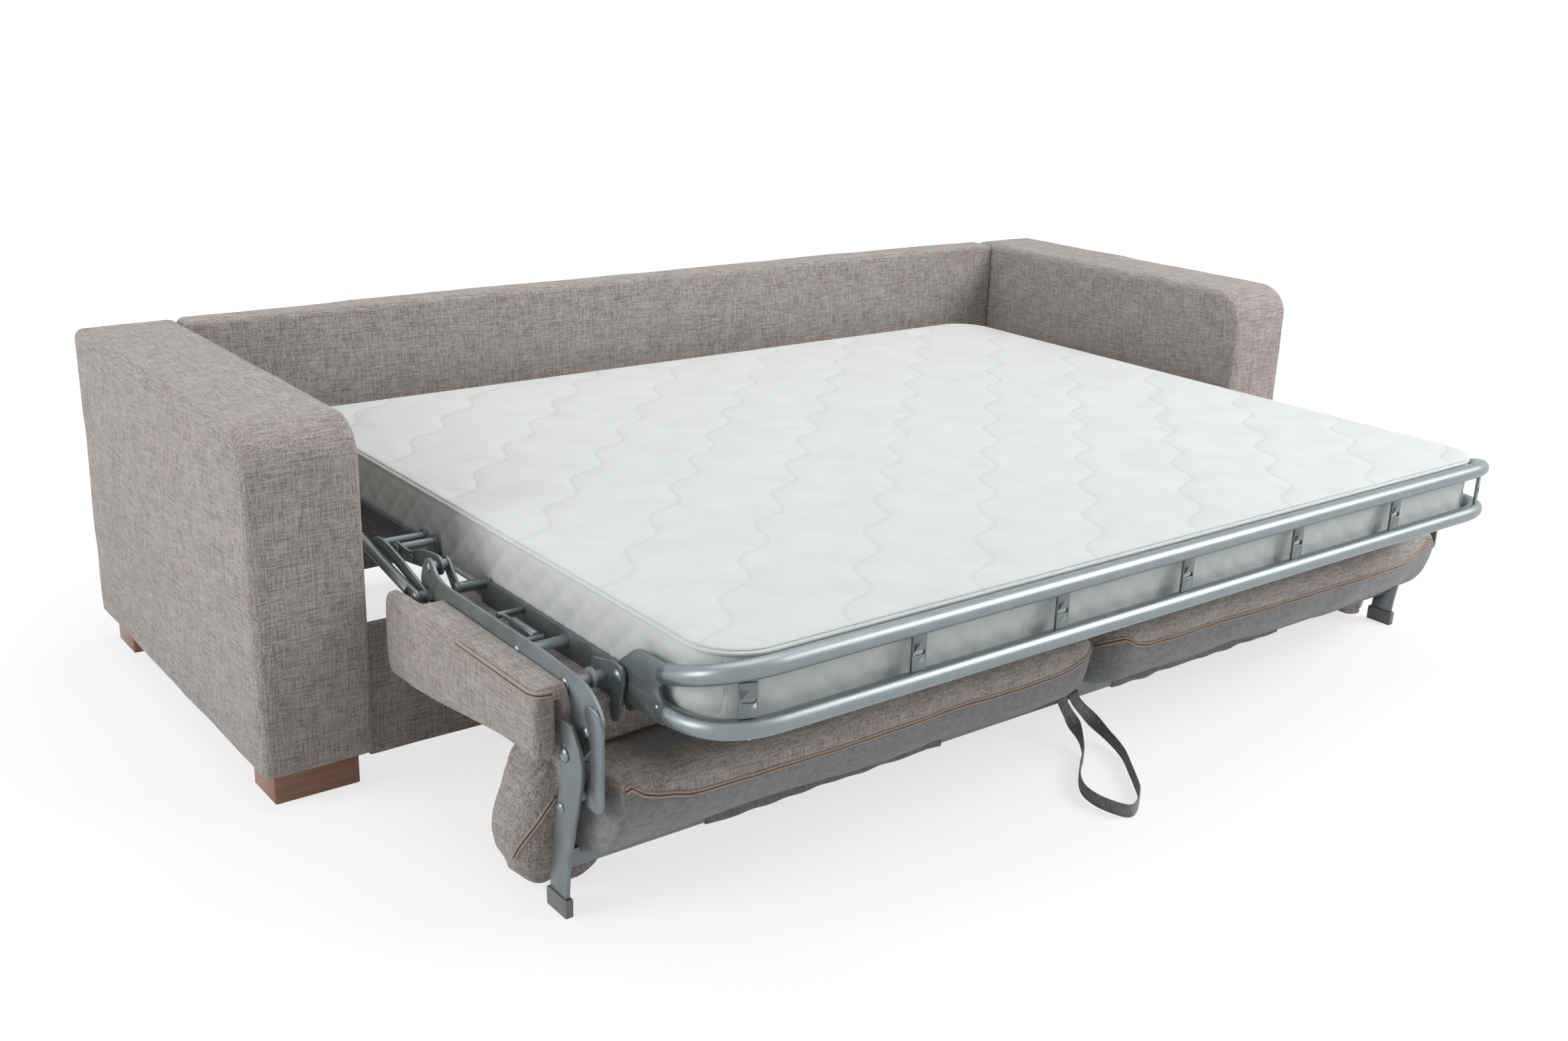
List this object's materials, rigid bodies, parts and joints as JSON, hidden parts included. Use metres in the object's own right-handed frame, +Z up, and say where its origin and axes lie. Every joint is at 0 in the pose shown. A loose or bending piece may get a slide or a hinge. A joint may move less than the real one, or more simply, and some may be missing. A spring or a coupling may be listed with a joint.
{
  "type": "sleeper sofa with pull out bed",
  "caption": "Three-seat fabric sofa whose seat and back tip forwards and turn upside down to open a full mattress on a steel folding frame.",
  "frame": {"origin": "on the floor, under the middle of the box round the sofa and the open bed, the pull strap left out", "axes": "+X across the sofa towards its left arm as seen when sitting on it, -Y towards the foot of the open bed, +Z up"},
  "size_m": [2.496, 1.655, 0.621],
  "materials": {
    "woven_cover": "coarse grey-taupe melange weave",
    "brown_wood": "mid-brown stained wood, satin",
    "grey_steel": "grey-blue satin paint",
    "zinc_wire": "zinc-plated wire and rod",
    "quilted_ticking": "white quilted mattress cover",
    "grey_plastic": "matt grey end caps"
  },
  "bodies": {
    "base": {"arm_right": "woven_cover", "arm_left": "woven_cover", "backrest": "woven_cover", "front_rail": "woven_cover", "foot_front_right": "brown_wood", "foot_front_left": "brown_wood", "foot_rear_right": "brown_wood", "foot_rear_left": "brown_wood", "bearer_plate_right": "grey_steel", "bearer_plate_left": "grey_steel"},
    "lift_front": {"lift_link_front_right": "grey_steel", "lift_link_front_left": "grey_steel"},
    "lift_rear": {"lift_link_rear_right": "grey_steel", "lift_link_rear_left": "grey_steel"},
    "head_section": {"head_rail_right": "grey_steel", "head_rail_left": "grey_steel", "head_cross_tube": "grey_steel", "head_mesh": "zinc_wire", "mattress_head": "quilted_ticking"},
    "fold_links": {"fold_link_right": "grey_steel", "fold_link_left": "grey_steel", "mattress_fold": "quilted_ticking"},
    "tie_links": {"tie_link_right": "grey_steel", "tie_link_left": "grey_steel"},
    "seat_frame": {"middle_rail_right": "grey_steel", "middle_rail_left": "grey_steel", "seat_arm_right": "grey_steel", "seat_arm_left": "grey_steel", "stay_rod_right": "zinc_wire", "stay_rod_left": "zinc_wire", "middle_cross_tube": "grey_steel", "middle_mesh": "zinc_wire", "mattress_middle": "quilted_ticking", "seat_cushion_right": "woven_cover", "seat_cushion_left": "woven_cover"},
    "foot_section": {"foot_blade_right": "grey_steel", "foot_blade_left": "grey_steel", "foot_mesh": "zinc_wire", "bumper_upper_tube": "grey_steel", "bumper_lower_tube": "grey_steel", "bumper_post_1": "grey_steel", "bumper_post_2": "grey_steel", "bumper_post_3": "grey_steel", "bumper_post_4": "grey_steel", "bumper_post_5": "grey_steel", "bumper_post_6": "grey_steel", "bumper_post_7": "grey_steel", "mattress_foot": "quilted_ticking"},
    "back_frame": {"leg_right": "grey_steel", "leg_left": "grey_steel", "leg_cap_right": "grey_plastic", "leg_cap_left": "grey_plastic", "back_crossbar": "grey_steel", "strut_right": "grey_steel", "strut_left": "grey_steel", "back_cushion_right": "woven_cover", "back_cushion_left": "woven_cover", "pull_strap": "woven_cover"}
  },
  "joints": [
    {"name": "lift_front", "type": "hinge", "parent": "base", "child": "lift_front", "pos_m": [0, 0.21722, 0.21892], "axis": [-1, 0, 0], "range_deg": [0, 85.4]},
    {"name": "head_pivot", "type": "hinge", "parent": "lift_front", "child": "head_section", "pos_m": [0, 0.37775, 0.345], "axis": [1, 0, 0], "range_deg": [0, 85.5]},
    {"name": "lift_rear", "type": "hinge", "parent": "base", "child": "lift_rear", "pos_m": [0, 0.46722, 0.21892], "axis": [-1, 0, 0], "range_deg": [0, 85.5]},
    {"name": "fold_pivot", "type": "hinge", "parent": "head_section", "child": "fold_links", "pos_m": [0, 0.03075, 0.367], "axis": [-1, 0, 0], "range_deg": [0, 90.1], "deforming": ["mattress_fold"]},
    {"name": "seat_pivot", "type": "hinge", "parent": "fold_links", "child": "seat_frame", "pos_m": [0, -0.12225, 0.386], "axis": [-1, 0, 0], "range_deg": [0, 90.1]},
    {"name": "tie_pivot", "type": "hinge", "parent": "head_section", "child": "tie_links", "pos_m": [0, 0.07275, 0.36462], "axis": [-1, 0, 0], "range_deg": [0, 91.2]},
    {"name": "foot_pivot", "type": "hinge", "parent": "seat_frame", "child": "foot_section", "pos_m": [0, -0.57825, 0.354], "axis": [1, 0, 0], "range_deg": [0, 12.1]},
    {"name": "back_pivot", "type": "hinge", "parent": "seat_frame", "child": "back_frame", "pos_m": [0, -0.57625, 0.257], "axis": [-1, 0, 0], "range_deg": [0, 12.1], "deforming": ["pull_strap"]}
  ],
  "couplings": [
    {"joint": "head_pivot", "follows": "lift_front", "ratio": 1},
    {"joint": "lift_rear", "follows": "lift_front", "ratio": 1},
    {"joint": "fold_pivot", "follows": "lift_front", "ratio": 1.0539},
    {"joint": "seat_pivot", "follows": "lift_front", "ratio": 1.0539},
    {"joint": "tie_pivot", "follows": "lift_front", "ratio": 1.066},
    {"joint": "foot_pivot", "follows": "lift_front", "ratio": 0.1405},
    {"joint": "back_pivot", "follows": "lift_front", "ratio": 0.1405}
  ]
}
